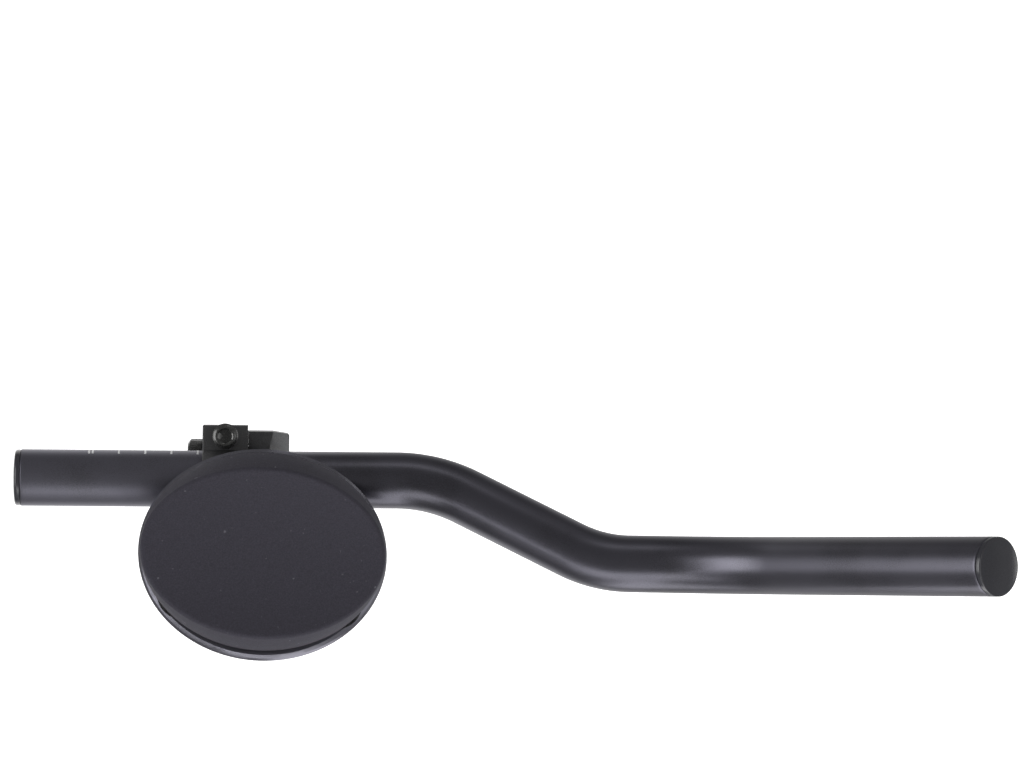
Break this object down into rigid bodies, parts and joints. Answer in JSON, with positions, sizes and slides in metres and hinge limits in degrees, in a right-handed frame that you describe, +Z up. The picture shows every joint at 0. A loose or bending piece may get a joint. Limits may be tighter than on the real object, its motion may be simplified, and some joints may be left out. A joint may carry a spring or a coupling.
{
  "type": "aero handlebar extension",
  "caption": "Clip-on aero bar for one forearm: a bent black alloy tube in a pinch clamp on a split handlebar clamp, with a padded trough armrest beside it.",
  "frame": {"origin": "centre of the handlebar that the clamp holds, in the middle of the clamp's width", "axes": "+X forward along the bicycle, +Y inboard along the handlebar (to the rider's left on this right-hand bar), +Z up"},
  "size_m": [0.376, 0.092, 0.1988],
  "materials": {
    "anodised_alloy": "black satin anodised",
    "clamp_alloy": "black anodised over a blasted surface",
    "bolt_steel": "black oxide",
    "plug_plastic": "moulded, matte",
    "cup_alloy": "black satin anodised",
    "pad_foam": "closed-cell foam with a fine fabric face",
    "hook_tape": "hook side of hook-and-loop tape"
  },
  "bodies": {
    "bracket": {"clamp_body": "clamp_alloy", "clamp_cap": "clamp_alloy", "clamp_bolts": "bolt_steel", "pinch_bolt": "bolt_steel", "armrest_cup": "cup_alloy", "cup_washers": "bolt_steel", "cup_screws": "bolt_steel", "hook_discs": "hook_tape", "armrest_pad": "pad_foam"},
    "extension": {"extension_tube": "anodised_alloy", "rear_end_plug": "plug_plastic", "front_end_plug": "plug_plastic"}
  },
  "joints": [
    {"name": "reach", "type": "slide", "parent": "bracket", "child": "extension", "axis": [1, 0, 0], "range_m": [-0.025, 0.044]}
  ]
}
